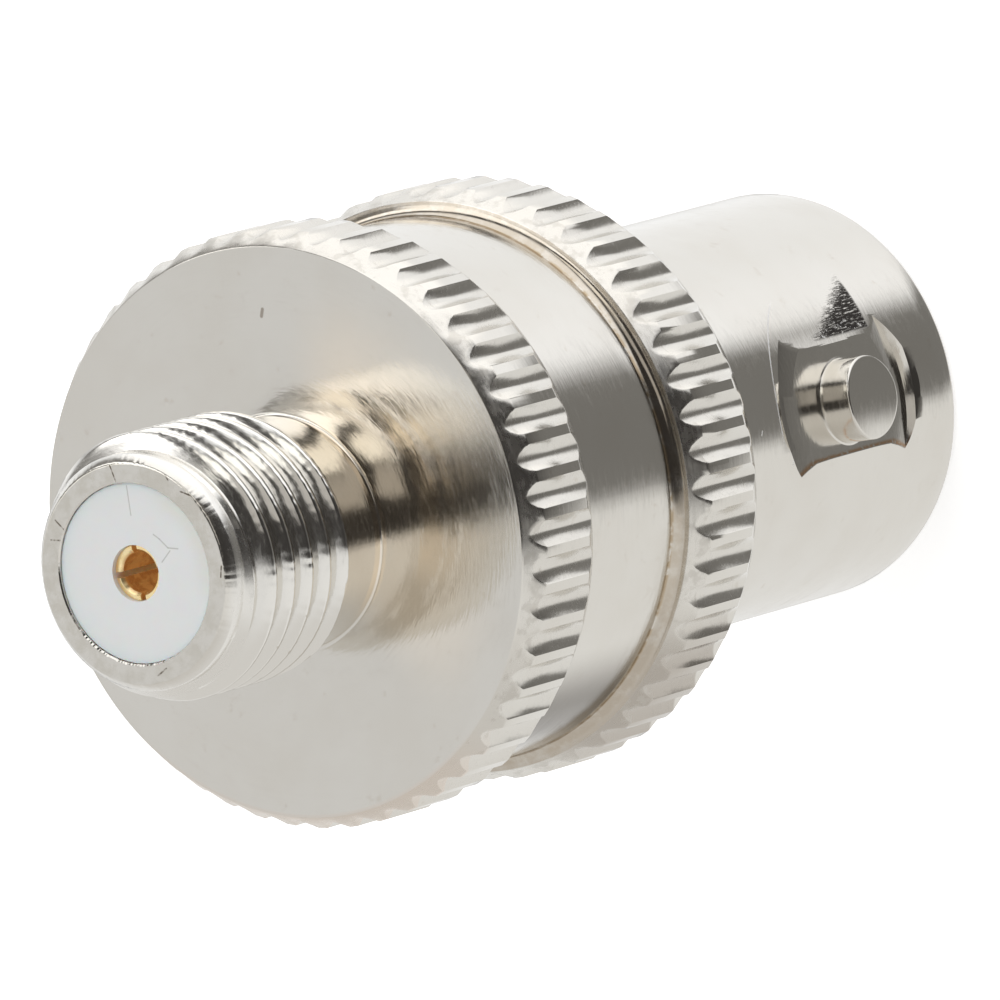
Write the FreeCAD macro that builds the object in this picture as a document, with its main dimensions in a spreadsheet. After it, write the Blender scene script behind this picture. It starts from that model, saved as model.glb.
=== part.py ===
import FreeCAD
import Part
import os

import Sketcher

# Coax adapter: a threaded miniature socket on top and a bayonet socket below.
# One turned and plated body holds two insulators, a press-in bush and a single
# contact that is a slotted socket at both ends.
# Frame: the axis is Z, the bayonet mouth stands at Z = 0 and the thread is up.
# The two bayonet studs point along +X and -X.

os.makedirs("parts", exist_ok=True)
doc = FreeCAD.newDocument("CoaxAdapter")
sheet = doc.addObject("Spreadsheet::Sheet", "Sizes")

SIZES = {
    # bayonet barrel
    "barrel_radius": 4.83,
    "barrel_length": 11.15,
    "barrel_edge": 0.18,
    "mouth_wall": 0.78,
    "mouth_depth": 8.4,
    "mouth_flare": 0.22,
    "mouth_flare_depth": 0.8,
    # bayonet studs, left standing by a hollow mill
    "stud_count": 2,
    "stud_radius": 0.99,
    "stud_height": 4.35,
    "stud_reach": 0.67,
    "stud_root_depth": 0.48,
    "stud_flat_depth": 0.3,
    "stud_clear_radius": 2.9,
    # knurled rings and the band between them
    "band_radius": 6.35,
    "band_length": 3.9,
    "band_fillet": 0.27,
    "crest_rise": 0.58,
    "crest_length": 1.68,
    "teeth": 50,
    "tooth_depth": 0.2,
    "tooth_gap": 0.61,
    "rear_cone_rise": 0.26,
    "rear_cone_length": 0.5,
    "lower_cone_rise": 0.26,
    "lower_cone_length": 0.57,
    "upper_cone_rise": 0.33,
    "upper_cone_length": 0.545,
    # threaded barrel
    "thread_barrel_length": 5.875,
    "neck_radius": 2.7,
    "neck_length": 1.6,
    "thread_radius": 3.13,
    "thread_runout": 0.28,
    "thread_leadin": 0.41,
    "pilot_radius": 2.72,
    "pilot_length": 0.5,
    "pilot_edge": 0.185,
    # bores of the body
    "core_radius": 3.5,
    "core_length": 6.0,
    "throat_radius": 2.075,
    # insulators and bush
    "fit_gap": 0.01,
    "pin_gap": 0.015,
    "insulator_sink": 0.08,
    "bush_length": 1.2,
    "bush_wall": 0.24,
    "bush_edge": 0.1,
    "nose_radius": 2.4,
    "nose_sink": 3.4,
    "nose_edge": 0.2,
    # double-ended contact
    "upper_contact_radius": 0.635,
    "upper_contact_sink": 0.2,
    "upper_hole_radius": 0.47,
    "upper_hole_edge": 0.07,
    "upper_hole_depth": 3.2,
    "upper_slot_width": 0.14,
    "upper_slot_depth": 2.6,
    "lower_contact_radius": 1.06,
    "lower_contact_sink": 3.7,
    "lower_hole_radius": 0.68,
    "lower_hole_edge": 0.2,
    "lower_hole_depth": 5.2,
    "lower_slot_width": 0.24,
    "lower_slot_depth": 4.2,
    "slots": 4,
    "collar_rise": 0.5,
    "collar_length": 1.0,
}
for row, (name, size) in enumerate(SIZES.items(), start=1):
    sheet.set("A%d" % row, name)
    sheet.set("B%d" % row, str(size))
    sheet.setAlias("B%d" % row, name)
doc.recompute()

# Heights and radii that follow from the sizes above
LOWER_CREST = "barrel_length + rear_cone_length"
RING = LOWER_CREST + " + crest_length"
SHOULDER = RING + " + lower_cone_length"
UPPER_RING = SHOULDER + " + band_length"
UPPER_REAR = UPPER_RING + " + rear_cone_length"
UPPER_CREST = UPPER_REAR + " + crest_length"
DISC = UPPER_CREST + " + upper_cone_length"
TOP = DISC + " + thread_barrel_length"
CREST = "band_radius + crest_rise"
CORE_TOP = "mouth_depth + core_length"
FLANGE = "mouth_depth + bush_length"
COLLAR = CORE_TOP + " - collar_length"
UPPER_FRONT = TOP + " - upper_contact_sink"
MOUTH = "barrel_radius - mouth_wall"
STUD_TIP = "barrel_radius + stud_reach"
STUD_FLAT = "barrel_radius - stud_flat_depth"
STUD_ROOT = "barrel_radius - stud_root_depth"


def cell(text):
    """Expression on the sheet for a sum of size names."""
    words = text.split()
    return " ".join("Sizes." + w if w[0].isalpha() else w for w in words)


def number(text):
    """The same sum as a number."""
    total = 0.0
    sign = 1.0
    for word in text.split():
        if word in ("+", "-"):
            sign = 1.0 if word == "+" else -1.0
            continue
        total += sign * (SIZES[word] if word[0].isalpha() else float(word))
    return total


def new_body(label):
    body = doc.addObject("PartDesign::Body", label)
    body.Label = label
    body.Placement = FreeCAD.Placement()
    return body


def origin_item(body, role):
    for item in body.Origin.OriginFeatures:
        if item.Role == role:
            return item
    raise RuntimeError("no origin item " + role)


def new_sketch(body, name, role, shift=None):
    sketch = body.newObject("Sketcher::SketchObject", name)
    sketch.AttachmentSupport = [(origin_item(body, role), "")]
    sketch.MapMode = "FlatFace"
    if shift:
        sketch.setExpression("AttachmentOffset.Base.z", cell(shift))
    return sketch


def hold(sketch, geo, end, axis, text):
    """Keep a point at its distance from the sketch origin, along X or Y."""
    if number(text) == 0:
        line = -2 if axis == "X" else -1
        sketch.addConstraint(Sketcher.Constraint("PointOnObject", geo, end, line))
        return
    rule = Sketcher.Constraint("Distance" + axis, -1, 1, geo, end, number(text))
    index = sketch.addConstraint(rule)
    sketch.setExpression("Constraints[%d]" % index, cell(text))


def polygon(sketch, corners):
    """Closed outline through corners given as (across, up) sums of sizes."""
    spots = [FreeCAD.Vector(number(x), number(y), 0) for x, y in corners]
    count = len(spots)
    for i in range(count):
        sketch.addGeometry(Part.LineSegment(spots[i], spots[(i + 1) % count]))
    for i in range(count):
        rule = Sketcher.Constraint("Coincident", i, 2, (i + 1) % count, 1)
        sketch.addConstraint(rule)
    for i, (x, y) in enumerate(corners):
        hold(sketch, i, 1, "X", x)
        hold(sketch, i, 1, "Y", y)


def circle(sketch, up, radius):
    """Circle on the sketch's vertical axis at a height."""
    middle = FreeCAD.Vector(0, number(up), 0)
    shape = Part.Circle(middle, FreeCAD.Vector(0, 0, 1), number(radius))
    geo = sketch.addGeometry(shape)
    index = sketch.addConstraint(Sketcher.Constraint("Radius", geo, number(radius)))
    sketch.setExpression("Constraints[%d]" % index, cell(radius))
    hold(sketch, geo, 3, "X", "0")
    hold(sketch, geo, 3, "Y", up)


def revolve(body, name, corners):
    """Turned solid whose outline lies in the XZ plane."""
    sketch = new_sketch(body, name + "_outline", "XZ_Plane")
    polygon(sketch, corners)
    turn = body.newObject("PartDesign::Revolution", name)
    turn.Profile = sketch
    turn.ReferenceAxis = (sketch, ["V_Axis"])
    turn.Angle = 360
    body.Tip = turn
    doc.recompute()
    return turn


def pocket(body, sketch, name, length, outward=False, both=False):
    """Pocket that has to take material away."""
    before = body.Tip.Shape.Volume
    step = body.newObject("PartDesign::Pocket", name)
    step.Profile = sketch
    step.setExpression("Length", cell(length))
    step.Reversed = outward
    step.Midplane = both
    body.Tip = step
    doc.recompute()
    if body.Tip.Shape.Volume > before - 1e-6:
        raise RuntimeError(name + " cuts nothing")
    return step


def repeat(body, name, steps, count):
    """Repeat features evenly round the axis."""
    pattern = body.newObject("PartDesign::PolarPattern", name)
    pattern.Originals = steps
    pattern.Axis = (origin_item(body, "Z_Axis"), [""])
    pattern.Angle = 360
    pattern.setExpression("Occurrences", cell(count))
    body.Tip = pattern
    doc.recompute()
    return pattern


def ring_edge(shape, radius, height):
    """Name of the circular edge of a given radius at a given height."""
    for index, edge in enumerate(shape.Edges, start=1):
        curve = edge.Curve
        if not isinstance(curve, Part.Circle):
            continue
        same_radius = abs(curve.Radius - number(radius)) < 1e-4
        if same_radius and abs(curve.Center.z - number(height)) < 1e-4:
            return "Edge%d" % index
    raise RuntimeError("no edge at radius " + radius)


def fillet(body, name, edges, radius):
    base = body.Tip
    names = [ring_edge(base.Shape, r, z) for r, z in edges]
    step = body.newObject("PartDesign::Fillet", name)
    step.Base = (base, names)
    step.setExpression("Radius", cell(radius))
    body.Tip = step
    doc.recompute()
    return step


def make_body():
    """Turned body: bayonet barrel, knurled rings, band, disc and thread barrel."""
    body = new_body("body")
    rear_face = CREST + " - rear_cone_rise"
    lower_face = CREST + " - lower_cone_rise"
    upper_face = CREST + " - upper_cone_rise"
    thread_start = DISC + " + neck_length"
    thread_end = TOP + " - pilot_length - thread_leadin"
    revolve(body, "turned", [
        (MOUTH + " + mouth_flare", "0"),
        ("barrel_radius - barrel_edge", "0"),
        ("barrel_radius", "barrel_edge"),
        ("barrel_radius", "barrel_length"),
        (rear_face, "barrel_length"),
        (CREST, LOWER_CREST),
        (CREST, RING),
        (lower_face, SHOULDER),
        ("band_radius", SHOULDER),
        ("band_radius", UPPER_RING),
        (rear_face, UPPER_RING),
        (CREST, UPPER_REAR),
        (CREST, UPPER_CREST),
        (upper_face, DISC),
        ("neck_radius", DISC),
        ("neck_radius", thread_start),
        ("thread_radius", thread_start + " + thread_runout"),
        ("thread_radius", thread_end),
        ("pilot_radius", TOP + " - pilot_length"),
        ("pilot_radius", TOP + " - pilot_edge"),
        ("pilot_radius - pilot_edge", TOP),
        ("throat_radius", TOP),
        ("throat_radius", CORE_TOP),
        ("core_radius", CORE_TOP),
        ("core_radius", "mouth_depth"),
        (MOUTH, "mouth_depth"),
        (MOUTH, "mouth_flare_depth"),
    ])
    fillet(body, "band_corner", [("band_radius", SHOULDER)], "band_fillet")

    # Studs: round posts, trimmed to the collar they were milled from
    sketch = new_sketch(body, "stud_circle", "YZ_Plane", STUD_ROOT)
    circle(sketch, "stud_height", "stud_radius")
    stud = body.newObject("PartDesign::Pad", "stud")
    stud.Profile = sketch
    reach = "stud_root_depth + stud_reach + stud_radius"
    stud.setExpression("Length", cell(reach))
    body.Tip = stud
    doc.recompute()
    repeat(body, "studs", [stud], "stud_count")
    sketch = new_sketch(body, "tip_outline", "XZ_Plane")
    beyond = STUD_TIP + " + stud_radius + stud_radius"
    below = "stud_height - stud_radius - stud_radius"
    above = "stud_height + stud_radius + stud_radius"
    polygon(sketch, [
        (STUD_TIP, below),
        (beyond, below),
        (beyond, above),
        (STUD_TIP, above),
    ])
    before = body.Tip.Shape.Volume
    trim = body.newObject("PartDesign::Groove", "stud_tips")
    trim.Profile = sketch
    trim.ReferenceAxis = (sketch, ["V_Axis"])
    trim.Angle = 360
    body.Tip = trim
    doc.recompute()
    if body.Tip.Shape.Volume > before - 1e-6:
        raise RuntimeError("stud_tips cuts nothing")

    # Flat that the hollow mill leaves round each stud
    sketch = new_sketch(body, "flat_circles", "YZ_Plane", STUD_FLAT)
    circle(sketch, "stud_height", "stud_clear_radius")
    circle(sketch, "stud_height", "stud_radius")
    flat = pocket(body, sketch, "stud_flat_cut", reach, outward=True)
    repeat(body, "stud_flats", [flat], "stud_count")

    # Straight knurl: one notch runs over both rings and clears the band
    floor = "barrel_length - stud_radius"
    sketch = new_sketch(body, "notch_outline", "XY_Plane", floor)
    apex = FreeCAD.Vector(number(CREST + " - tooth_depth"), 0, 0)
    wide = number(CREST + " + tooth_depth")
    high = FreeCAD.Vector(wide, number("tooth_gap"), 0)
    low = FreeCAD.Vector(wide, -number("tooth_gap"), 0)
    sketch.addGeometry(Part.LineSegment(apex, high))
    sketch.addGeometry(Part.LineSegment(high, low))
    sketch.addGeometry(Part.LineSegment(low, apex))
    for i in range(3):
        sketch.addConstraint(Sketcher.Constraint("Coincident", i, 2, (i + 1) % 3, 1))
    hold(sketch, 0, 1, "X", CREST + " - tooth_depth")
    hold(sketch, 0, 1, "Y", "0")
    hold(sketch, 1, 1, "X", CREST + " + tooth_depth")
    hold(sketch, 1, 1, "Y", "tooth_gap")
    sketch.addConstraint(Sketcher.Constraint("Symmetric", 1, 1, 1, 2, -1))
    span = DISC + " - barrel_length + stud_radius + stud_radius"
    notch = pocket(body, sketch, "notch", span, outward=True)
    repeat(body, "knurl", [notch], "teeth")
    return body


def make_sma_insulator():
    """Plain white bush in the threaded barrel."""
    body = new_body("upper_insulator")
    outer = "throat_radius - fit_gap"
    inner = "upper_contact_radius + pin_gap"
    revolve(body, "upper_bush", [
        (inner, CORE_TOP),
        (outer, CORE_TOP),
        (outer, TOP + " - insulator_sink"),
        (inner, TOP + " - insulator_sink"),
    ])
    return body


def make_lower_insulator():
    """Flanged insulator whose nose stands in the bayonet mouth."""
    body = new_body("lower_insulator")
    outer = "core_radius - fit_gap"
    inner = "lower_contact_radius + pin_gap"
    seat = "lower_contact_radius + collar_rise + pin_gap"
    revolve(body, "lower_bush", [
        (inner, "nose_sink"),
        ("nose_radius - nose_edge", "nose_sink"),
        ("nose_radius", "nose_sink + nose_edge"),
        ("nose_radius", FLANGE),
        (outer, FLANGE),
        (outer, CORE_TOP),
        (seat, CORE_TOP),
        (seat, COLLAR),
        (inner, COLLAR),
    ])
    return body


def make_bush():
    """Ring pressed in behind the bayonet shoulder to keep the insulator."""
    body = new_body("retaining_bush")
    outer = "core_radius - fit_gap"
    inner = "core_radius - bush_wall"
    revolve(body, "bush_ring", [
        (inner + " + bush_edge", "mouth_depth"),
        (outer, "mouth_depth"),
        (outer, FLANGE),
        (inner, FLANGE),
        (inner, "mouth_depth + bush_edge"),
    ])
    return body


def slot(body, name, reach, low, high, width):
    """One slot from the axis outwards, then the same slot round the axis."""
    sketch = new_sketch(body, name + "_outline", "XZ_Plane")
    polygon(sketch, [("0", low), (reach, low), (reach, high), ("0", high)])
    step = pocket(body, sketch, name, width, both=True)
    repeat(body, name + "s", [step], "slots")


def make_contact():
    """Contact with a slotted socket at each end and a collar between them."""
    body = new_body("center_contact")
    upper_floor = UPPER_FRONT + " - upper_hole_depth"
    lower_floor = "lower_contact_sink + lower_hole_depth"
    revolve(body, "contact_turned", [
        ("lower_hole_radius + lower_hole_edge", "lower_contact_sink"),
        ("lower_contact_radius", "lower_contact_sink"),
        ("lower_contact_radius", COLLAR),
        ("lower_contact_radius + collar_rise", COLLAR),
        ("lower_contact_radius + collar_rise", CORE_TOP),
        ("upper_contact_radius", CORE_TOP),
        ("upper_contact_radius", UPPER_FRONT),
        ("upper_hole_radius + upper_hole_edge", UPPER_FRONT),
        ("upper_hole_radius", UPPER_FRONT + " - upper_hole_edge"),
        ("upper_hole_radius", upper_floor),
        ("0", upper_floor),
        ("0", lower_floor),
        ("lower_hole_radius", lower_floor),
        ("lower_hole_radius", "lower_contact_sink + lower_hole_edge"),
    ])
    reach = "upper_contact_radius + upper_hole_edge"
    slot(body, "upper_slot", reach, UPPER_FRONT + " - upper_slot_depth",
         UPPER_FRONT + " + upper_hole_edge", "upper_slot_width")
    reach = "lower_contact_radius + lower_hole_edge"
    slot(body, "lower_slot", reach, "lower_contact_sink - lower_hole_edge",
         "lower_contact_sink + lower_slot_depth", "lower_slot_width")
    return body


NODES = [
    make_body(),
    make_sma_insulator(),
    make_lower_insulator(),
    make_bush(),
    make_contact(),
]
doc.recompute()

for item in doc.Objects:
    if "Invalid" in item.State or "Error" in item.State:
        raise RuntimeError(item.Name + " did not recompute")
for node in NODES:
    shape = node.Shape
    if shape.isNull() or not shape.isValid() or len(shape.Solids) != 1:
        raise RuntimeError(node.Label + " is not one valid solid")
for node in NODES:
    node.Shape.exportStep("parts/%s.step" % node.Label)
    print(node.Label, round(node.Shape.Volume, 2), node.Shape.BoundBox)
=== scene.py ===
import math
from collections import namedtuple

import bmesh
import bpy
import numpy as np
from mathutils import Matrix, Vector


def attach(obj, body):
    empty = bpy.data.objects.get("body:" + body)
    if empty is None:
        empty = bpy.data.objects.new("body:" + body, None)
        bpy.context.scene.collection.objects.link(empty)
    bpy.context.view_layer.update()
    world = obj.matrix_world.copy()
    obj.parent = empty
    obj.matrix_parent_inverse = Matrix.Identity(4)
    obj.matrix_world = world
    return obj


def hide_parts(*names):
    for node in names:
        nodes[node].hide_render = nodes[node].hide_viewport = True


# Coax adapter. The CAD nodes for both insulators, the bush and the contact stay.
# The turned body is rebuilt with its thread, worn edges and dished stud flats.
# Sizes are in millimetres and angles in degrees. Z runs up from the bayonet mouth
# and X points through a stud.

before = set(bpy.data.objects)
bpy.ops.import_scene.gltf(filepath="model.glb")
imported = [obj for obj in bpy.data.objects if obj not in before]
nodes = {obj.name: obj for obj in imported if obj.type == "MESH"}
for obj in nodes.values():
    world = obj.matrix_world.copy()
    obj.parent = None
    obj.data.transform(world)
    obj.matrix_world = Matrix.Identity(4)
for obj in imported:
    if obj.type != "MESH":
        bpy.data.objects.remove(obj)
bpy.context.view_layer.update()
MM = 0.001
SEED = 7
rng = np.random.default_rng(SEED)

# Edges of the shell that turn by more than this stay hard
SHARP_ANGLE = 32

# Bayonet barrel
BARREL_R = 4.83
BARREL_LENGTH = 11.15
BARREL_EDGE = 0.18
BARREL_FILLET = 0.1
MOUTH_R = 4.05
MOUTH_FLARE = 0.22
FLARE_DEPTH = 0.78
MOUTH_DEPTH = 8.4

# Studs and the flats that a hollow mill leaves round them
STUD_Z = 4.35
STUD_R = 0.99
STUD_TIP_R = 5.5
STUD_ROOT = 4.3
FLAT_X = 4.67
FLAT_R = 2.6
FLAT_REACH = 2.95
MILL_LEAN = 0.03
# Radius about the stud of the painted highlight along the mill's edge
MILL_HIGHLIGHT_R = 2.935

# Metal rolled up beside one flat: its heights, and the angle where it ends
ROLL_HEIGHT = 0.05
ROLL_SPAN = (2.7, 3.3, 6.1, 6.6)
ROLL_END = 22
ROLL_FADE = 7

# Knurled rings and the band between them
TEETH = 50
SKIN = 0.001
BAND_R = 6.35
BAND_LENGTH = 3.9
BAND_FILLET = 0.3
BAND_REAR_FILLET = 0.05
CREST = BAND_R + 0.58 - SKIN
CREST_LENGTH = 1.68
NOTCH_FLOOR = 6.73
REAR_RISE = 0.26
REAR_LENGTH = 0.5
LOWER_RISE = 0.26
LOWER_LENGTH = 0.57
UPPER_RISE = 0.33
UPPER_LENGTH = 0.545
BROKEN_EDGE = 0.02

# Threaded end, 1/4-36
PITCH = 25.4 / 36
THREAD_R = 3.13
THREAD_DEPTH = 0.41
THREAD_PHASE = 22.438
THREAD_START = 22.12
THREAD_RUNOUT = 0.28
THREAD_LEADIN = 0.41
NECK_R = 2.7
NECK_FILLET = 0.06
PILOT_R = 2.72
PILOT_LENGTH = 0.5
FACE_R = 2.6
THREADED_LENGTH = 5.875
DISC_R = 6.59
THROAT_R = 2.075
CORE_R = 3.5
CORE_EDGE = 0.05

# Heights that follow from the sizes above
LOWER_CONE = BARREL_LENGTH + REAR_LENGTH + CREST_LENGTH
SHOULDER = LOWER_CONE + LOWER_LENGTH
UPPER_RING = SHOULDER + BAND_LENGTH
UPPER_CONE = UPPER_RING + REAR_LENGTH + CREST_LENGTH
DISC = UPPER_CONE + UPPER_LENGTH
TOP = DISC + THREADED_LENGTH
PILOT_Z = TOP - PILOT_LENGTH
CORE_TOP = MOUTH_DEPTH + 6

# Half of a knurl notch: distance from its middle line and share of the way up its side
NOTCH_SIDE = ((0.318, 1.0), (0.255, 0.64), (0.155, 0.24), (0.04, 0.0))

# Thread section: shares of a pitch from the crest, with the depth reached at some of them
THREAD_PHASES = (-0.5, -0.45, -0.41, -0.27, -0.14, -0.09, 0, 0.09, 0.14, 0.27, 0.41, 0.45)
THREAD_AWAY = (0, 0.09, 0.14, 0.42)
THREAD_FALL = (0, 0.03, 0.1, 1)

# Hollow mill's cut: radius about the stud and x, first its dished floor, then its wall
MILL_FLOOR = ((STUD_R, 4.668), (1.5, 4.665), (2.0, 4.65), (2.35, 4.605), (2.62, 4.555))
MILL_WALL = ((2.68, 4.66), (2.74, 4.75), (2.89, 4.815), (2.93, 4.84), (3.0, 6.5))

# Marks seen in the photograph. Cracks in the front face and scratches in the
# insulator run from one (x, y) to another, and the barrel's short bright strokes
# from one (height, angle) to another
FACE_CRACKS = (
    ((-1.54, 2.29), (-1.42, 2.1)),
    ((1.37, 2.16), (1.44, 1.98)),
    ((1.72, 1.7), (2.02, 1.56)),
    ((2.47, -0.1), (2.4, -0.34)),
    ((-2.12, 1.02), (-1.86, 0.98)),
    ((-0.1, 2.5), (-0.02, 2.14)),
    ((-1.9, 1.45), (-1.7, 1.2)),
    ((0.15, -2.36), (0.42, -2.22)),
)
PTFE_SCRATCHES = (
    ((0.2, 1.99), (0.17, 1.32)),
    ((0.69, 0.82), (0.83, 0.7)),
    ((0.83, 0.7), (1.03, 0.47)),
    ((1.03, 0.47), (1.3, 0.42)),
    ((1.07, 0.4), (0.79, 0.17)),
)
BARREL_STROKES = (
    ((10.4, 22), (10.35, 19.5)),
    ((8.6, 17), (8.55, 15.8)),
    ((8.05, -2), (8.1, -3)),
    ((6.85, -12), (6.9, -13.5)),
)
DISC_TICK = ((0.56, 5.12), (0.5, 4.97))
CRACK_WIDTH = 0.026
SCRATCH_WIDTH = 0.022
STROKE_WIDTH = 0.03
TICK_WIDTH = 0.06

# Angles about the axis between which each mark, tint, painted reflection and painted shade lies
SCUFF_ANGLES = (18.3, 40)
# the painted golden reflection on the disc lies between these angles
GOLDEN_REFLECTION_ANGLES = (-45, 65)
# the painted reflection of the contact shadow on the band lies between these angles
BAND_SHADOW_REFLECTION_ANGLES = (-70, -46)
SHADE_ANGLES = (-75, -38)
# the painted tan fringe of the contact shadow lies between these angles
TABLE_SHADOW_FRINGE_ANGLES = (-135, -55)
# a warmer tint near the insulator's rim lies between these angles
WARM_RIM_ANGLES = (-20, 60)

# Camera axes and place in the part's frame, found from the photograph
RIGHT = (0.801763, -0.182428, -0.569119)
UP = (0.111799, 0.981245, -0.157033)
BACK = (0.587092, 0.062277, 0.807121)
EYE = (278.7004, 28.9706, 395.2142)
SENSOR = 36
LENS = 738.926
CLIP_NEAR = 50
CLIP_FAR = 10000

# Edges of the studio's lights, as shares of a direction to the right, up and to the
# camera. Shares run from -1 to 1 and were read off the part's reflections
BOX_LEFT = (-0.57, -0.47)
BOX_FOOT = (0.48, 0.6)
LAMP_SIDE = (-0.95, -0.678)
FILL_SIDE = (-0.53, -0.22)
FILL_HIGH = (0.35, 0.62)
DIM_SIDE = (-0.22, 0.12)
DIM_HIGH = (0.05, 0.6)
GLOW_SIDE = (-0.8, -0.88)
GLOW_HIGH = (-0.12, 0.07)
FAR_LEFT = (-0.79, -0.84)

# Floor and lamp. The floor's glow brings the paper to white for the camera
FLOOR_R = 600
FLOOR_GLOW = 0.58
LAMP_SIZE = 250
LAMP_PLACE = (50, 300, 350)
LAMP_TARGET = (0, 0, 10)
LAMP_WATTS = 0.35

TINT = {
    # plating
    "nickel": (0.735, 0.71, 0.662, 1),
    "nickel_warm": (0.715, 0.685, 0.632, 1),
    "nickel_dull": (0.68, 0.64, 0.58, 1),
    "face_mottle": (0.66, 0.63, 0.57, 1),
    "crack": (0.12, 0.09, 0.06, 1),
    "copper_edge": (0.62, 0.42, 0.27, 1),
    "scuff": (0.05, 0.044, 0.04, 1),
    # white of rubbed spots and scratches, also used for the painted highlight along the mill's
    # edge
    "rubbed_and_highlight": (0.95, 0.94, 0.92, 1),
    "thread": (0.82, 0.8, 0.76, 1),
    # painted golden reflection of the neck and thread in the disc
    "golden_reflection": (0.84, 0.765, 0.66, 1),
    # painted reflection of the part's contact shadow, on the band's lower side
    "band_shadow_reflection": (0.21, 0.19, 0.165, 1),
    "ring_shade": (0.53, 0.49, 0.44, 1),
    "cone_dull": (0.6, 0.57, 0.52, 1),
    "hollow": (0.55, 0.49, 0.41, 1),
    "corner": (0.46, 0.37, 0.26, 1),
    # painted tan fringe of the contact shadow along the lower edge
    "table_shadow_fringe": (0.74, 0.67, 0.6, 1),
    "tick": (0.4, 0.36, 0.31, 1),
    # insulator
    "ptfe": (0.83, 0.843, 0.85, 1),
    "ptfe_pale": (0.87, 0.876, 0.876, 1),
    # warmer tint near the insulator's rim
    "ptfe_warm_rim": (0.8, 0.76, 0.68, 1),
    "ptfe_scratch": (0.3, 0.29, 0.27, 1),
    # contact
    "gold": (0.98, 0.82, 0.5, 1),
    "gold_deep": (0.95, 0.72, 0.36, 1),
    # painted shade deep in the contact's bore
    "gold_bore_shade": (0.53, 0.37, 0.2, 1),
    "bore_glow": (0.17, 0.085, 0.025, 1),
    "bore_glow_weak": (0.09, 0.04, 0.012, 1),
    "rim_glow": (0.06, 0.045, 0.015, 1),
    # floor
    "paper": (0.86, 0.86, 0.86, 1),
    "paper_pale": (0.88, 0.88, 0.88, 1),
}

LIGHT = {
    "backdrop": (1, 1, 1, 1),
    "table_left": (0.78, 0.783, 0.785, 1),
    "table_right": (0.9, 0.9, 0.89, 1),
    "table_under": (0.74, 0.73, 0.71, 1),
    "room_behind": (0.22, 0.215, 0.205, 1),
    "room_front": (0.045, 0.042, 0.04, 1),
    "box_left": (1.07, 1.08, 1.09, 1),
    "box_right": (1.17, 1.18, 1.2, 1),
    "box_middle": (1.42, 1.42, 1.42, 1),
    "far_left": (0.24, 0.235, 0.225, 1),
    "glow": (1.5, 1.5, 1.48, 1),
    "lamp": (1.9, 1.9, 1.9, 1),
    "fill": (1.45, 1.43, 1.36, 1),
    "dim": (0.55, 0.53, 0.5, 1),
}


# Geometry of the shell
def columns():
    """Angles of the grid's columns and the knurl radius at each."""
    section = [(-y, share) for y, share in NOTCH_SIDE]
    section += reversed(NOTCH_SIDE)
    angle, radius = [], []
    for tooth in range(TEETH):
        middle = math.radians(tooth * 360 / TEETH + rng.normal(0, 0.05))
        floor = NOTCH_FLOOR + rng.normal(0, 0.008)
        angle.append(math.radians((tooth - 0.5) * 360 / TEETH))
        radius.append(CREST)
        for y, share in section:
            x = floor + share * (CREST - floor)
            angle.append(middle + math.atan2(y, x))
            radius.append(min(CREST, math.hypot(x, y)))
    return np.array(angle), np.array(radius)


ANGLE, KNURL = columns()
N = len(ANGLE)


def waves(count, size, low, high):
    """Smooth uneven offset round the axis, made of a few waves."""
    total = np.zeros(N)
    for _ in range(count):
        turns = rng.integers(low, high)
        total += np.sin(turns * ANGLE + rng.uniform(0, 6.28)) * rng.normal(0, 1)
    return total * size / math.sqrt(count)


def flat(rows, r, z):
    rows.append((np.full(N, float(r)), np.full(N, float(z))))


def arc(rows, r, z, size, start, end, steps):
    for turn in np.radians(np.linspace(start, end, steps)):
        flat(rows, r + size * math.cos(turn), z + size * math.sin(turn))


def ring_rows(rows, rear, cone, cone_rise, face):
    """Rows of one knurled ring between its rear and front cones."""
    steep = REAR_LENGTH / REAR_RISE
    slope = (face - cone) / cone_rise
    start = rear + REAR_LENGTH - (CREST - KNURL) * steep
    meet = cone + (CREST - KNURL) * slope
    wear = np.abs(waves(30, 0.006, 20, 260))
    flat(rows, CREST - REAR_RISE - BROKEN_EDGE, rear)
    for share in (0.04, 0.5, 0.97):
        z = rear + share * (start - rear)
        rows.append((CREST - REAR_RISE + (z - rear) / steep, z))
    rows.append((KNURL, start + BROKEN_EDGE + wear))
    rows.append((KNURL, 0.5 * (start + meet)))
    rows.append((KNURL, meet - BROKEN_EDGE))
    for share in (0.08, 0.4, 1.0):
        z = meet + share * (face - 0.5 * BROKEN_EDGE - meet)
        rows.append((CREST - (z - cone) / slope, z))


def rolled(z):
    """Barrel radius, with metal rolled up beside the flat of one stud."""
    along_flat = np.interp(z, ROLL_SPAN, (0, 1, 1, 0))
    away = np.degrees(ANGLE)
    fade = np.clip((ROLL_END - away) / ROLL_FADE, 0, 1) ** 2
    return BARREL_R + ROLL_HEIGHT * along_flat * fade * (away > 0)


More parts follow.
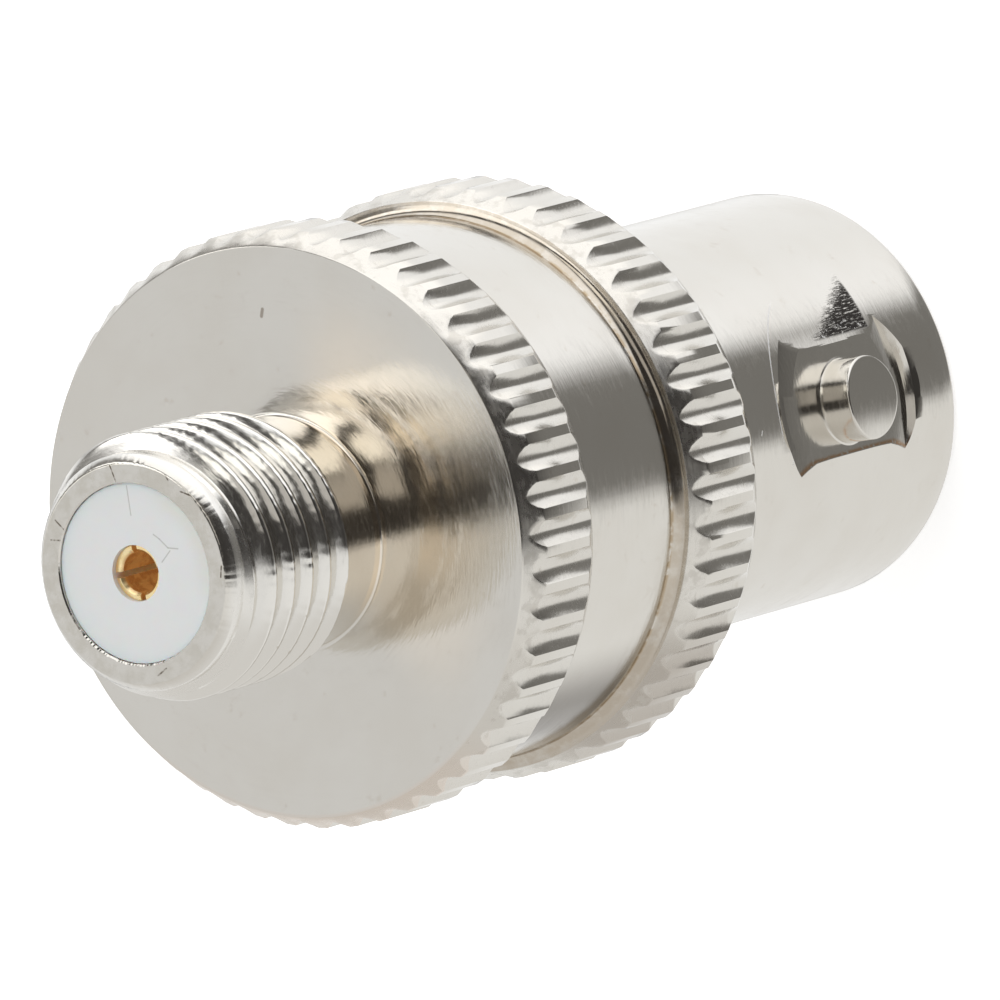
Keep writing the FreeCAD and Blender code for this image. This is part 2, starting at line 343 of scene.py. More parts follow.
def lower_rows():
    """Outside from the bayonet mouth up to the start of the thread."""
    rows = []
    flat(rows, MOUTH_R + MOUTH_FLARE, BROKEN_EDGE)
    flat(rows, MOUTH_R + MOUTH_FLARE + BROKEN_EDGE, 0)
    arc(rows, BARREL_R - BARREL_EDGE, BARREL_EDGE, BARREL_EDGE, -90, 0, 5)
    for z in np.arange(0.6, 8.2, 0.4):
        rows.append((rolled(z), np.full(N, z)))
    flat(rows, BARREL_R, 9.5)
    flat(rows, BARREL_R, 10.8)
    arc(rows, BARREL_R + BARREL_FILLET, BARREL_LENGTH - BARREL_FILLET, BARREL_FILLET, 180, 90, 4)
    flat(rows, 6.2, BARREL_LENGTH)
    ring_rows(rows, BARREL_LENGTH, LOWER_CONE, LOWER_RISE, SHOULDER)
    arc(rows, BAND_R + BAND_FILLET, SHOULDER + BAND_FILLET, BAND_FILLET, -90, -180, 8)
    for z in (SHOULDER + 0.7, SHOULDER + 2.1, UPPER_RING - 0.2):
        flat(rows, BAND_R, z)
    arc(rows, BAND_R + BAND_REAR_FILLET, UPPER_RING - BAND_REAR_FILLET, BAND_REAR_FILLET,
        180, 90, 3)
    ring_rows(rows, UPPER_RING, UPPER_CONE, UPPER_RISE, DISC)
    for r in (DISC_R, DISC_R - 0.025, 6.3, 5.2, 4.1, 3.2, NECK_R + 0.1):
        flat(rows, r, DISC)
    arc(rows, NECK_R + NECK_FILLET, DISC + NECK_FILLET, NECK_FILLET, -90, -180, 4)
    flat(rows, NECK_R, 21.2)
    flat(rows, NECK_R, THREAD_START - 0.12)
    return rows


def upper_rows():
    """From the end of the thread over the front face and down the bores."""
    rows = []
    chip = np.abs(waves(40, 0.008, 6, 120))
    turn = np.degrees(ANGLE) % 360
    worn = 0.4 + 3.0 * np.exp(-((turn - 245) / 28) ** 2)
    nick = np.abs(waves(40, 0.012, 20, 120)) * worn
    flat(rows, PILOT_R, PILOT_Z + 0.1)

    # chipped edge of the pilot: way in, share of the chips and way down from the face
    for inset, share, drop in ((0, 0.3, 0.22), (0.012, 0.4, 0.185), (0.155, 1, 0.028),
                               (0.175, 1, 0.008), (0.2, 1, 0), (0.23, 1, 0)):
        rows.append((PILOT_R - inset - share * chip, TOP - drop))

    # face and the nicked edge of the throat
    flat(rows, 2.3, TOP)
    rows.append((THROAT_R + 0.055 + nick, TOP))
    rows.append((THROAT_R + 0.025 + nick, TOP))
    rows.append((THROAT_R - 0.005 + 0.5 * nick, TOP - 0.03 - 0.6 * nick))
    flat(rows, THROAT_R - 0.008, TOP - 0.2)
    for z in (TOP - 0.4, 20, CORE_TOP):
        flat(rows, THROAT_R, z)

    # core bore and mouth
    flat(rows, CORE_R, CORE_TOP)
    flat(rows, CORE_R, MOUTH_DEPTH + CORE_EDGE)
    flat(rows, CORE_R + CORE_EDGE, MOUTH_DEPTH)
    flat(rows, MOUTH_R - CORE_EDGE, MOUTH_DEPTH)
    for z in (MOUTH_DEPTH + CORE_EDGE, 5.0, FLARE_DEPTH + 0.06):
        flat(rows, MOUTH_R, z)
    flat(rows, MOUTH_R + 0.01, FLARE_DEPTH)
    return rows


def envelope(z):
    """Largest radius of the threaded barrel at a height."""
    heights = (THREAD_START, THREAD_START + THREAD_RUNOUT, PILOT_Z - THREAD_LEADIN, PILOT_Z)
    return np.interp(z, heights, (NECK_R, THREAD_R, THREAD_R, PILOT_R))


def thread_rows(low, high):
    """Rows that climb with the helix and stop at the ends of the thread."""
    rows = []
    first = math.floor((low - THREAD_PHASE) / PITCH) - 1
    last = math.ceil((high - THREAD_PHASE) / PITCH) + 2
    tones = [(rng.uniform(3, 90), rng.uniform(0, 6.28), rng.normal(0, 1)) for _ in range(40)]
    round_axis = ANGLE / (2 * math.pi)
    for turn in range(first, last):
        path = ANGLE + 2 * math.pi * turn
        dents = 0.0006 * sum(size * np.sin(pace * path + start) for pace, start, size in tones)
        for phase in THREAD_PHASES:
            level = THREAD_PHASE + (turn + phase + round_axis) * PITCH
            z = np.clip(level, low, high)
            away = (z - THREAD_PHASE) / PITCH - round_axis
            away = np.abs(away - np.round(away))
            fall = np.interp(away, THREAD_AWAY, THREAD_FALL)
            r = THREAD_R - THREAD_DEPTH * fall + dents * np.clip(1 - 3 * fall, 0, 1)
            rows.append((np.minimum(r, envelope(z)), z))
    return rows


def new_piece(name, data):
    piece = bpy.data.objects.new(name, data)
    bpy.context.collection.objects.link(piece)
    return piece


def lathe(name, before, thread, after):
    """Closed mesh through all rows. The thread's rows shift by one turn at the seam."""
    rows = before + thread + after
    shift = len(THREAD_PHASES)
    start, stop = len(before), len(before) + len(thread)
    verts = []
    for r, z in rows:
        r, z = np.broadcast_to(r, N), np.broadcast_to(z, N)
        for j in range(N):
            verts.append((r[j] * math.cos(ANGLE[j]), r[j] * math.sin(ANGLE[j]), z[j]))

    def spot(i, j):
        if j < N:
            return i * N + j
        if start <= i < stop:
            i = min(i + shift, stop - 1)
        return i * N

    faces = []
    total = len(rows)
    for i in range(total):
        k = (i + 1) % total
        for j in range(N):
            faces.append((spot(i, j), spot(i, j + 1), spot(k, j + 1), spot(k, j)))
    mesh = bpy.data.meshes.new(name)
    mesh.from_pydata([(x * MM, y * MM, z * MM) for x, y, z in verts], [], faces)
    work = bmesh.new()
    work.from_mesh(mesh)
    bmesh.ops.remove_doubles(work, verts=work.verts, dist=2e-6)
    bmesh.ops.dissolve_degenerate(work, edges=work.edges, dist=1e-7)
    bmesh.ops.recalc_face_normals(work, faces=work.faces)
    work.to_mesh(mesh)
    work.free()
    return new_piece(name, mesh)


def turned_x(name, outline, segments):
    """Closed mesh turned about the stud's axis, outline given as (radius, x)."""
    work = bmesh.new()
    loops = []
    for radius, x in outline:
        loop = []
        for k in range(segments):
            turn = 2 * math.pi * k / segments
            y, z = radius * math.cos(turn), radius * math.sin(turn)
            depth = x(y) if callable(x) else x
            place = (depth * MM, y * MM, (STUD_Z + z) * MM)
            loop.append(work.verts.new(place))
        loops.append(loop)
    for one, two in zip(loops, loops[1:]):
        for k in range(segments):
            m = (k + 1) % segments
            work.faces.new((one[k], one[m], two[m], two[k]))
    work.faces.new(loops[0])
    work.faces.new(loops[-1])
    bmesh.ops.recalc_face_normals(work, faces=work.faces)
    mesh = bpy.data.meshes.new(name)
    work.to_mesh(mesh)
    work.free()
    return new_piece(name, mesh)


def combine(piece, tool, how):
    step = piece.modifiers.new(how.lower(), "BOOLEAN")
    step.operation = how
    step.solver = "EXACT"
    step.object = tool
    bpy.context.view_layer.objects.active = piece
    bpy.ops.object.modifier_apply(modifier=step.name)
    bpy.data.objects.remove(tool)


def milled(radius, x):
    """Point of the milled floor, which leans slightly towards one side."""
    lean = MILL_LEAN * (radius / FLAT_R) ** 4
    return radius, lambda y: x - lean * y


def make_flat_cutter():
    """Shape that the hollow mill takes away round a stud."""
    floor = [milled(radius, x) for radius, x in MILL_FLOOR]
    return turned_x("flat_cutter", [(0.2, FLAT_X), *floor, *MILL_WALL], 128)


def tip(drop):
    """Stud tip on the radius of the collar that the studs were milled from."""
    return lambda y: math.sqrt(STUD_TIP_R ** 2 - y * y) - drop


def make_stud():
    """Stud with a small root fillet and a slightly broken edge at its tip."""
    root = [(1.1, STUD_ROOT), (1.05, 4.669), (1.005, 4.685), (STUD_R, 4.73), (STUD_R, 4.8)]
    edge = [(STUD_R, tip(0.3)), (STUD_R, tip(0.05)), (STUD_R, tip(0.035)),
            (STUD_R - 0.012, tip(0.01)), (STUD_R - 0.035, tip(0))]
    end = [(radius, tip(0)) for radius in (0.93, 0.7, 0.4, 0.1)]
    return turned_x("stud", root + edge + end, 96)


def on_floor(face):
    """Whether a face belongs to the milled floor round a stud."""
    x, y, z = (abs(c) / MM for c in face.calc_center_median())
    level = FLAT_X - 0.17 < x < FLAT_X + 0.01 and abs(face.normal.x) > 0.99
    return level and z < STUD_Z + FLAT_REACH and math.hypot(x, y) < BARREL_R - SKIN


def crease_flats(shell):
    """Keep the shallow edge between each milled floor and the barrel crisp."""
    work = bmesh.new()
    work.from_mesh(shell.data)
    for edge in work.edges:
        faces = edge.link_faces
        if len(faces) == 2 and on_floor(faces[0]) != on_floor(faces[1]):
            edge.smooth = False
    work.to_mesh(shell.data)
    work.free()


def make_shell():
    thread = (THREAD_START - 0.02, PILOT_Z + 0.05)
    shell = lathe("body_shell", lower_rows(), thread_rows(*thread), upper_rows())
    for turn in (0, math.pi):
        cutter = make_flat_cutter()
        stud = make_stud()
        for tool in (cutter, stud):
            tool.data.transform(Matrix.Rotation(turn, 4, "Z"))
        combine(shell, cutter, "DIFFERENCE")
        combine(shell, stud, "UNION")
    shell.data.polygons.foreach_set("use_smooth", [True] * len(shell.data.polygons))
    shell.data.set_sharp_from_angle(angle=math.radians(SHARP_ANGLE))
    crease_flats(shell)
    return shell


# Helpers for material nodes
def feed(tree, socket, value):
    if isinstance(value, bpy.types.NodeSocket):
        tree.links.new(value, socket)
    elif value is not None:
        socket.default_value = value


def calc(tree, how, *values):
    node = tree.nodes.new("ShaderNodeMath")
    node.operation = how
    for socket, value in zip(node.inputs, values):
        feed(tree, socket, value)
    return node.outputs[0]


def vector_calc(tree, how, *values):
    """Vector Math node. The last value of a SCALE goes to its own socket."""
    node = tree.nodes.new("ShaderNodeVectorMath")
    node.operation = how
    if how == "SCALE":
        feed(tree, node.inputs["Scale"], values[-1])
        values = values[:-1]
    for socket, value in zip(node.inputs, values):
        feed(tree, socket, value)
    return node.outputs["Value" if how in ("DOT_PRODUCT", "DISTANCE") else "Vector"]


def ramp(tree, value, low, high, start=0.0, end=1.0):
    """Smooth change from start at low to end at high."""
    node = tree.nodes.new("ShaderNodeMapRange")
    node.interpolation_type = "SMOOTHSTEP"
    for socket, item in zip(node.inputs, (value, low, high, start, end)):
        feed(tree, socket, item)
    return node.outputs[0]


def window(tree, value, low, high, soft):
    """1 between low and high, 0 outside, with soft edges."""
    return calc(tree, "MULTIPLY", ramp(tree, value, low - soft, low + soft),
                ramp(tree, value, high + soft, high - soft))


def product(tree, *values):
    total = values[0]
    for value in values[1:]:
        total = calc(tree, "MULTIPLY", total, value)
    return total


def stroke(tree, place, start, end, width):
    """Mask of a thin line between two points given in millimetres."""
    run = Vector(end) - Vector(start)
    offset = vector_calc(tree, "SUBTRACT", place, start)
    share = vector_calc(tree, "DOT_PRODUCT", offset, run / run.length_squared)
    share = calc(tree, "MINIMUM", calc(tree, "MAXIMUM", share, 0.0), 1.0)
    gap = vector_calc(tree, "DISTANCE", offset, vector_calc(tree, "SCALE", run, share))
    return ramp(tree, gap, width, 0.4 * width)


def blend(tree, factor, one, two):
    """Mix node. Its colours are inputs 6 and 7, and its mixed colour is output 2."""
    node = tree.nodes.new("ShaderNodeMix")
    node.data_type = "RGBA"
    feed(tree, node.inputs[0], factor)
    feed(tree, node.inputs[6], one)
    feed(tree, node.inputs[7], two)
    return node.outputs[2]


def noise(tree, place, scale, detail=2.0, rough=0.5):
    node = tree.nodes.new("ShaderNodeTexNoise")
    feed(tree, node.inputs["Vector"], place)
    feed(tree, node.inputs["Scale"], scale)
    feed(tree, node.inputs["Detail"], detail)
    feed(tree, node.inputs["Roughness"], rough)
    return node.outputs["Fac"]


def bump(tree, height, distance, strength, normal=None):
    node = tree.nodes.new("ShaderNodeBump")
    feed(tree, node.inputs["Height"], height)
    feed(tree, node.inputs["Distance"], distance)
    feed(tree, node.inputs["Strength"], strength)
    feed(tree, node.inputs["Normal"], normal)
    return node.outputs["Normal"]


def vector(tree, x, y, z):
    node = tree.nodes.new("ShaderNodeCombineXYZ")
    for socket, value in zip(node.inputs, (x, y, z)):
        feed(tree, socket, value)
    return node.outputs[0]


def new_material(name):
    material = bpy.data.materials.new(name)
    material.use_nodes = True
    return material, material.node_tree, material.node_tree.nodes["Principled BSDF"]


Spot = namedtuple("Spot", "place x y z radius angle")


def find_spot(tree):
    """Object place in millimetres, with its radius and angle about the axis."""
    coord = tree.nodes.new("ShaderNodeTexCoord").outputs["Object"]
    place = vector_calc(tree, "SCALE", coord, 1 / MM)
    split = tree.nodes.new("ShaderNodeSeparateXYZ")
    tree.links.new(place, split.inputs[0])
    x, y, z = split.outputs
    radius = calc(tree, "SQRT", calc(tree, "ADD", calc(tree, "MULTIPLY", x, x),
                                     calc(tree, "MULTIPLY", y, y)))
    angle = calc(tree, "MULTIPLY", calc(tree, "ARCTAN2", y, x), 180 / math.pi)
    return Spot(place, x, y, z, radius, angle)


# Materials
def front_marks(tree, spot, patch, tint, rough):
    """Mottled front face with cracks at its rim."""
    tint = blend(tree, ramp(tree, patch, 0.35, 0.65), tint, TINT["face_mottle"])
    speck = noise(tree, spot.place, 9, 2, 0.6)
    cracks = 0.0
    for start, end in FACE_CRACKS:
        crack = stroke(tree, spot.place, (*start, TOP), (*end, TOP), CRACK_WIDTH)
        cracks = calc(tree, "MAXIMUM", cracks, crack)
    cracks = product(tree, cracks, ramp(tree, speck, 0.38, 0.55, 0.25, 0.9))
    return blend(tree, cracks, tint, TINT["crack"]), rough


def on_barrel(height, angle):
    """Point of the barrel's surface at a height and an angle."""
    turn = math.radians(angle)
    return BARREL_R * math.cos(turn), BARREL_R * math.sin(turn), height


def mill_edge_highlight(tree, spot, outside):
    """Painted highlight along the edge of the hollow mill's cut, on the far side of the stud."""
    rise = calc(tree, "SUBTRACT", spot.z, STUD_Z)
    swing = calc(tree, "SQRT", calc(tree, "MULTIPLY_ADD", spot.y, spot.y,
                                    calc(tree, "MULTIPLY", rise, rise)))
    return product(tree, window(tree, swing, MILL_HIGHLIGHT_R - 0.02, MILL_HIGHLIGHT_R + 0.02, 0.008),
                   ramp(tree, spot.z, 5.6, 6.2), outside, ramp(tree, spot.y, -0.7, -0.3),
                   ramp(tree, spot.x, 0, 1))


def barrel_marks(tree, spot, tint, rough):
    """Scuffed triangle, rubbed spots, a painted highlight along the mill's edge and copper edge
    beside one stud.
    """
    speck = noise(tree, spot.place, 9, 2, 0.6)
    skewed = calc(tree, "MULTIPLY_ADD", spot.angle, 0.06, spot.z)
    hair = noise(tree, vector(tree, calc(tree, "MULTIPLY", skewed, 3.5),
                              calc(tree, "MULTIPLY", spot.angle, 2.2), spot.radius), 1, 4, 0.75)
    slant = calc(tree, "MULTIPLY_ADD", spot.angle, 0.138, spot.z)
    slant = calc(tree, "MULTIPLY_ADD", hair, 2.8, slant)
    outside = ramp(tree, spot.radius, BARREL_R - 0.05, BARREL_R - 0.02)
    zone = product(tree, ramp(tree, slant, 9.05, 8.7), window(tree, spot.z, 2.74, 6, 0.05),
                   window(tree, spot.angle, *SCUFF_ANGLES, 0.5), outside)
    scuff = product(tree, zone, ramp(tree, hair, 0.36, 0.46))
    rubbed_and_highlight = product(tree, zone, ramp(tree, speck, 0.6, 0.64), ramp(tree, spot.angle, 24, 19))
    # the mill edge's bright line joins this tint as a painted highlight
    rubbed_and_highlight = calc(tree, "MAXIMUM", rubbed_and_highlight, mill_edge_highlight(tree, spot, outside))
    for start, end in BARREL_STROKES:
        line = stroke(tree, spot.place, on_barrel(*start), on_barrel(*end), STROKE_WIDTH)
        rubbed_and_highlight = calc(tree, "MAXIMUM", rubbed_and_highlight, line)
    rim = product(tree, ramp(tree, spot.radius, BARREL_R - 0.045, BARREL_R - 0.015),
                  ramp(tree, spot.radius, BARREL_R - 0.002, BARREL_R - 0.008),
                  window(tree, spot.z, 1.3, 7.35, 0.03))
    copper = product(tree, rim, ramp(tree, spot.y, -1.1, -1.2), ramp(tree, speck, 0.3, 0.5))
    tint = blend(tree, copper, tint, TINT["copper_edge"])
    tint = blend(tree, scuff, tint, TINT["scuff"])
    tint = blend(tree, rubbed_and_highlight, tint, TINT["rubbed_and_highlight"])
    return tint, calc(tree, "MULTIPLY_ADD", calc(tree, "MAXIMUM", scuff, rubbed_and_highlight), 0.45, rough)


def ring_marks(tree, spot, cloud, patch, tint, rough):
    """Painted golden reflection on the disc, painted reflected shadow on the band, painted shade
    on the lower ring, dull cones, brown corners, painted shadow fringe on the upper ring and
    matt knurl.
    """
    place, z, radius, angle = spot.place, spot.z, spot.radius, spot.angle
    thread = product(tree, window(tree, z, THREAD_START - 0.12, TOP - 0.1, 0.1),
                     ramp(tree, radius, 2.2, 2.4))
    thread_end = calc(tree, "MULTIPLY", thread, ramp(tree, z, 25.55, 25.65))
    # painted golden reflection of the neck and thread on the disc
    golden_reflection = product(tree, window(tree, z, DISC - 0.125, DISC + 0.225, 0.05),
                   ramp(tree, radius, 6.4, 4.2), window(tree, angle, *GOLDEN_REFLECTION_ANGLES, 14),
                   ramp(tree, cloud, 0.25, 0.6, 0.7, 1.0))
    tick_start, tick_end = DISC_TICK
    tick = stroke(tree, place, (*tick_start, DISC), (*tick_end, DISC), TICK_WIDTH)
    # painted reflection of the part's contact shadow on the band
    band_shadow_reflection = product(tree, window(tree, z, SHOULDER + 0.35, UPPER_RING - 0.1, 0.08),
                      ramp(tree, radius, BAND_R + 0.15, BAND_R + 0.05),
                      window(tree, angle, *BAND_SHADOW_REFLECTION_ANGLES, 9))
    shade = product(tree, window(tree, z, BARREL_LENGTH + 0.45, SHOULDER + 0.1, 0.05),
                    ramp(tree, radius, 6.5, 6.6), window(tree, angle, *SHADE_ANGLES, 8))
    corner = product(tree, window(tree, z, SHOULDER + 0.2, SHOULDER + 0.32, 0.03),
                     window(tree, radius, BAND_R - 0.02, BAND_R + 0.07, 0.01),
                     ramp(tree, patch, 0.35, 0.55))
    hollow = product(tree, window(tree, z, SHOULDER - 0.03, SHOULDER + 0.27, 0.02),
                     window(tree, radius, BAND_R + 0.01, BAND_R + 0.31, 0.01),
                     ramp(tree, patch, 0.25, 0.6, 0.5, 1))
    # painted tan fringe of the contact shadow on the lower side of the upper ring's front cone
    table_shadow_fringe = product(tree, window(tree, z, UPPER_CONE - 0.08, DISC + 0.005, 0.03),
                     ramp(tree, radius, 6.5, 6.56), window(tree, angle, *TABLE_SHADOW_FRINGE_ANGLES, 10))
    knurl = product(tree, window(tree, radius, 6.6, 6.915, 0.01),
                    window(tree, z, BARREL_LENGTH + 0.45, DISC - 0.025, 0.1))
    cones = product(tree, window(tree, radius, 6.62, 6.925, 0.01),
                    calc(tree, "MAXIMUM", window(tree, z, LOWER_CONE, SHOULDER, 0.02),
                         window(tree, z, UPPER_CONE, DISC - 0.025, 0.02)))
    dull = calc(tree, "MULTIPLY", cones, ramp(tree, patch, 0.5, 0.62, 0.0, 0.6))
    for mask, name in ((thread, "thread"), (golden_reflection, "golden_reflection"), (band_shadow_reflection, "band_shadow_reflection"),
                       (shade, "ring_shade"), (dull, "cone_dull"), (hollow, "hollow"),
                       (corner, "corner"), (table_shadow_fringe, "table_shadow_fringe"), (tick, "tick")):
        tint = blend(tree, mask, tint, TINT[name])
    rough = calc(tree, "MULTIPLY_ADD", knurl, 0.08, rough)
    rough = calc(tree, "MULTIPLY_ADD", golden_reflection, -0.05, rough)
    rough = calc(tree, "MULTIPLY_ADD", thread_end, 0.09, rough)
    return tint, calc(tree, "MULTIPLY_ADD", cones, ramp(tree, patch, 0.35, 0.7, 0.0, 0.1), rough)


def nickel(name, area):
    """Bright nickel plate over turned brass, with the marks of one area."""
    material, tree, shader = new_material(name)
    spot = find_spot(tree)
    turning = vector(tree, spot.radius, spot.z, calc(tree, "MULTIPLY", spot.angle, 0.012))
    lines = noise(tree, turning, 16, 1, 0.6)
    brushed = noise(tree, vector(tree, calc(tree, "MULTIPLY", spot.radius, 10),
                                 calc(tree, "MULTIPLY", spot.z, 10),
                                 calc(tree, "MULTIPLY", spot.angle, 0.25)), 1, 2, 0.6)
    cloud = noise(tree, spot.place, 0.55, 2, 0.55)
    patch = noise(tree, spot.place, 2.6, 3, 0.6)
    tint = blend(tree, ramp(tree, cloud, 0.3, 0.75), TINT["nickel"], TINT["nickel_warm"])
    tint = blend(tree, ramp(tree, patch, 0.62, 0.8), tint, TINT["nickel_dull"])
    rough = calc(tree, "ADD", ramp(tree, cloud, 0.25, 0.8, 0.11, 0.16),
                 ramp(tree, brushed, 0.45, 0.75, 0.0, 0.08))
    if area == "front":
        tint, rough = front_marks(tree, spot, patch, tint, rough)
    elif area == "barrel":
        tint, rough = barrel_marks(tree, spot, tint, rough)
    else:
        tint, rough = ring_marks(tree, spot, cloud, patch, tint, rough)
    tree.links.new(tint, shader.inputs["Base Color"])
    shader.inputs["Metallic"].default_value = 1
    tree.links.new(rough, shader.inputs["Roughness"])
    normal = bump(tree, lines, 0.004 * MM, 0.35)
    normal = bump(tree, brushed, 0.0026 * MM, 0.5, normal)
    tree.links.new(normal, shader.inputs["Normal"])
    return material


def ptfe():
    """White insulator, waxy, with a faint lathe pattern."""
    material, tree, shader = new_material("white_ptfe")
    spot = find_spot(tree)
    turning = vector(tree, spot.radius, spot.z, calc(tree, "MULTIPLY", spot.angle, 0.01))
    rings = noise(tree, turning, 9, 3, 0.6)
    cloud = noise(tree, spot.place, 1.4, 3, 0.5)
    tint = blend(tree, cloud, TINT["ptfe"], TINT["ptfe_pale"])
    # warmer tint near the rim on one side
    warm_rim = product(tree, ramp(tree, spot.radius, 1.5, 2.05),
                    window(tree, spot.angle, *WARM_RIM_ANGLES, 15), 0.5)
    tint = blend(tree, warm_rim, tint, TINT["ptfe_warm_rim"])
    level = TOP - 0.08
    for start, end in PTFE_SCRATCHES:
        scratch = stroke(tree, spot.place, (*start, level), (*end, level), SCRATCH_WIDTH)
        tint = blend(tree, calc(tree, "MULTIPLY", scratch, 0.45), tint, TINT["ptfe_scratch"])
    tree.links.new(tint, shader.inputs["Base Color"])
    shader.inputs["Subsurface Weight"].default_value = 0.25
    shader.inputs["Subsurface Scale"].default_value = 0.6 * MM
    shader.inputs["Specular IOR Level"].default_value = 0.35
    tree.links.new(ramp(tree, rings, 0.3, 0.7, 0.42, 0.55), shader.inputs["Roughness"])
    tree.links.new(bump(tree, rings, 0.004 * MM, 0.4), shader.inputs["Normal"])
    return material


def gold():
    """Gold plate over the contact, with rougher patches, painted shade down the bore and a
    painted glow in the bore and on its rim.
    """
    material, tree, shader = new_material("gold_plate")
    spot = find_spot(tree)
    patch = noise(tree, spot.place, 3.5, 3, 0.6)
    grain = noise(tree, spot.place, 25, 2, 0.5)
    bore = ramp(tree, spot.z, TOP - 0.21, TOP - 0.27)
    tint = blend(tree, ramp(tree, patch, 0.35, 0.7), TINT["gold"], TINT["gold_deep"])
    # painted shade down the bore
    tint = blend(tree, bore, tint, TINT["gold_bore_shade"])
    tree.links.new(tint, shader.inputs["Base Color"])

    # painted glow: emission stands in for the light that the polished bore gathers from the
    # front
    glow = blend(tree, ramp(tree, patch, 0.42, 0.6), TINT["bore_glow"], TINT["bore_glow_weak"])
    glow = blend(tree, bore, TINT["rim_glow"], glow)
    tree.links.new(glow, shader.inputs["Emission Color"])
    shader.inputs["Emission Strength"].default_value = 1
    shader.inputs["Metallic"].default_value = 1
    tree.links.new(ramp(tree, patch, 0.3, 0.8, 0.16, 0.32), shader.inputs["Roughness"])
    tree.links.new(bump(tree, grain, 0.004 * MM, 0.3), shader.inputs["Normal"])
    return material


def dress(piece, *materials):
    piece.data.materials.clear()
    for material in materials:
        piece.data.materials.append(material)


def share_out(piece):
    """Give the barrel's faces the second slot and the front face the third."""
    for face in piece.data.polygons:
        x, y, z = (c / MM for c in face.center)
        if z < BARREL_LENGTH:
            face.material_index = 1
        elif z > TOP - 0.01 and math.hypot(x, y) < FACE_R:
            face.material_index = 2


# Studio
def make_camera():
    data = bpy.data.cameras.new("camera")
    data.sensor_width = SENSOR
    data.lens = LENS
    data.clip_start = CLIP_NEAR * MM
    data.clip_end = CLIP_FAR * MM
    camera = new_piece("camera", data)
    turn = Matrix([RIGHT, UP, BACK]).transposed().to_4x4()
    camera.matrix_world = Matrix.Translation(Vector(EYE) * MM) @ turn
    bpy.context.scene.camera = camera


def softbox(tree, side, high):
    """Light of the box overhead, brighter to the right and in its middle."""
    box = blend(tree, ramp(tree, side, 0.3, 0.65), LIGHT["box_left"], LIGHT["box_right"])
    return blend(tree, ramp(tree, high, 0.72, 0.82), box, LIGHT["box_middle"])


def tabletop(tree, side, high):
    """Light of the pale table, darker to the left and under the part."""
    table = blend(tree, ramp(tree, side, -0.8, 0.2), LIGHT["table_left"], LIGHT["table_right"])
    return blend(tree, ramp(tree, high, -0.85, -0.6), LIGHT["table_under"], table)


def studio(tree, side, high, near):
    """Light from a direction, given by its shares to the right, up and to the camera."""
    room = blend(tree, ramp(tree, near, -0.3, 0.4), LIGHT["room_behind"], LIGHT["room_front"])
    lift = calc(tree, "SUBTRACT", high, ramp(tree, near, 0.3, 0.8, 0.0, 0.2))
    overhead = calc(tree, "MULTIPLY", ramp(tree, lift, *BOX_FOOT), ramp(tree, side, *BOX_LEFT))
    behind = ramp(tree, near, -0.55, -0.8)
    seen = blend(tree, calc(tree, "MAXIMUM", overhead, behind), room,
                 softbox(tree, side, high))
    left = ramp(tree, side, *FAR_LEFT)
    glow = product(tree, ramp(tree, side, *GLOW_SIDE), window(tree, high, *GLOW_HIGH, 0.05))
    lamp_foot = ramp(tree, near, 0.1, 0.35, 0.45, 0.06)
    lamp = product(tree, window(tree, side, *LAMP_SIDE, 0.012),
                   ramp(tree, calc(tree, "SUBTRACT", high, lamp_foot), 0.0, 0.07),
                   ramp(tree, near, -0.5, -0.35))
    fill = product(tree, window(tree, side, *FILL_SIDE, 0.02),
                   window(tree, high, *FILL_HIGH, 0.04), ramp(tree, near, 0.2, 0.5))
    dim = product(tree, window(tree, side, *DIM_SIDE, 0.03),
                  window(tree, high, *DIM_HIGH, 0.04), ramp(tree, near, 0.75, 0.85))
    for mask, name in ((left, "far_left"), (glow, "glow"), (lamp, "lamp"), (fill, "fill"),
                       (dim, "dim")):
        seen = blend(tree, mask, seen, LIGHT[name])
    table_edge = calc(tree, "MULTIPLY_ADD", near, -0.27, -0.07)
    below = ramp(tree, calc(tree, "SUBTRACT", high, table_edge), 0.06, -0.06)
    return blend(tree, below, seen, tabletop(tree, side, high))


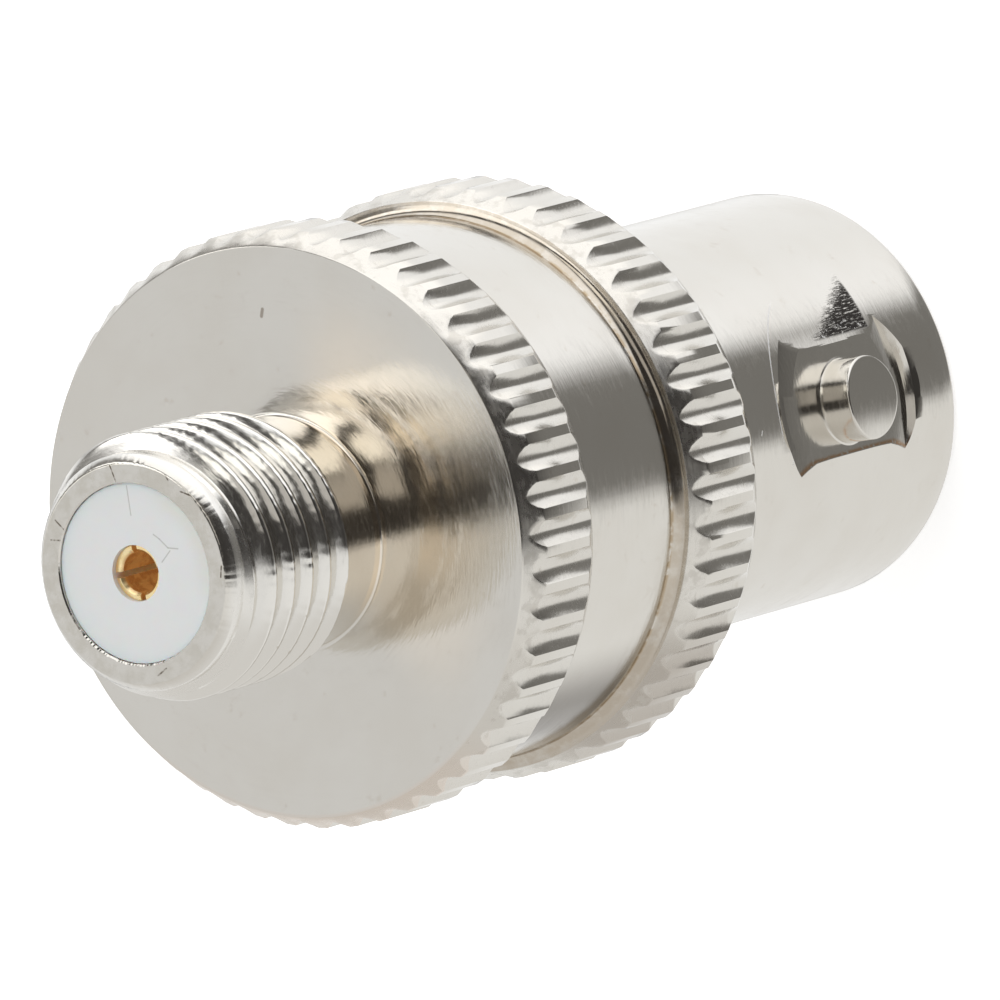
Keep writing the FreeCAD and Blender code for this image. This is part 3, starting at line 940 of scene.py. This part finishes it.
def make_world():
    """Softbox overhead, pale table below and an unlit room between them.

    Overhead is the photograph's up, which is level in the part's own frame.
    """
    world = bpy.data.worlds.new("studio")
    bpy.context.scene.world = world
    world.use_nodes = True
    tree = world.node_tree
    light = tree.nodes["Background"]
    coord = tree.nodes.new("ShaderNodeTexCoord").outputs["Generated"]
    shares = [vector_calc(tree, "DOT_PRODUCT", coord, axis) for axis in (RIGHT, UP, BACK)]
    to_camera = tree.nodes.new("ShaderNodeLightPath").outputs["Is Camera Ray"]
    tree.links.new(blend(tree, to_camera, studio(tree, *shares), LIGHT["backdrop"]),
                   light.inputs["Color"])
    light.inputs["Strength"].default_value = 1


def make_floor():
    """Round sheet of white paper, which shows the part's shadow to the camera."""
    work = bmesh.new()
    bmesh.ops.create_circle(work, cap_ends=True, segments=96, radius=FLOOR_R * MM)
    mesh = bpy.data.meshes.new("floor")
    work.to_mesh(mesh)
    work.free()
    floor = new_piece("floor", mesh)
    material, tree, shader = new_material("pale_paper")
    grain = noise(tree, tree.nodes.new("ShaderNodeTexCoord").outputs["Object"], 30, 2)
    tree.links.new(blend(tree, grain, TINT["paper"], TINT["paper_pale"]),
                   shader.inputs["Base Color"])
    shader.inputs["Roughness"].default_value = 0.9
    shader.inputs["Specular IOR Level"].default_value = 0
    to_camera = tree.nodes.new("ShaderNodeLightPath").outputs["Is Camera Ray"]
    shader.inputs["Emission Color"].default_value = LIGHT["backdrop"]
    tree.links.new(calc(tree, "MULTIPLY", to_camera, FLOOR_GLOW),
                   shader.inputs["Emission Strength"])
    dress(floor, material)
    floor.visible_glossy = False


def make_lamp():
    data = bpy.data.lights.new("softbox", "AREA")
    data.shape = "DISK"
    data.size = LAMP_SIZE * MM
    data.energy = LAMP_WATTS
    lamp = new_piece("softbox", data)
    aim = Vector(LAMP_TARGET) - Vector(LAMP_PLACE)
    lamp.location = Vector(LAMP_PLACE) * MM
    lamp.rotation_mode = "QUATERNION"
    lamp.rotation_quaternion = aim.to_track_quat("-Z", "Y")
    lamp.visible_glossy = False


plate = nickel("nickel_plate", "rings")
shell = make_shell()
dress(shell, plate, nickel("nickel_barrel", "barrel"), nickel("nickel_front", "front"))
share_out(shell)
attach(shell, "root")
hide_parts("body")
white = ptfe()
dress(nodes["upper_insulator"], white)
dress(nodes["lower_insulator"], white)
dress(nodes["retaining_bush"], plate)
dress(nodes["center_contact"], gold())
make_camera()
make_world()
make_floor()
make_lamp()
bpy.context.scene.view_settings.view_transform = "Standard"
